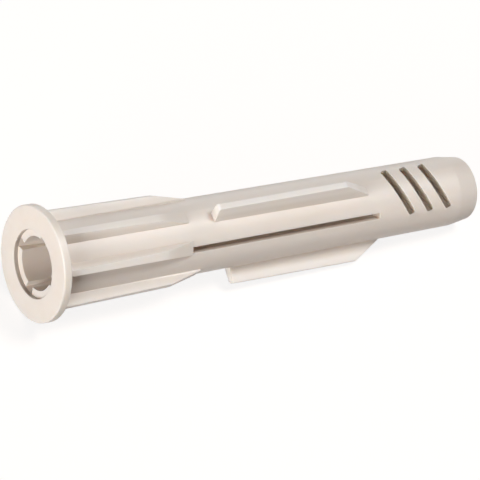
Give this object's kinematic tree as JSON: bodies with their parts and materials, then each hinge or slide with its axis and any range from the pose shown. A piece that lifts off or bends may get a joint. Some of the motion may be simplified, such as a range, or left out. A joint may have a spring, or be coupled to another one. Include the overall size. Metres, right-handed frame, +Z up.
{
  "type": "wall plug",
  "caption": "Moulded plastic wall plug with a collar, a ribbed neck, a slotted shaft with staggered fins and a tip with slanting slots, bored through for a screw.",
  "frame": {"origin": "on the plug's axis, in the plane of the collar's seat, which lies against the wall once the plug is in", "axes": "+X along the axis from the collar to the tip, the way the plug is pushed in; +Z up as the plug lies on its side"},
  "size_m": [0.051, 0.0116, 0.0116],
  "materials": {
    "moulded_plastic": "satin, as moulded"
  },
  "bodies": {
    "root": {"wall_plug": "moulded_plastic"}
  },
  "joints": []
}
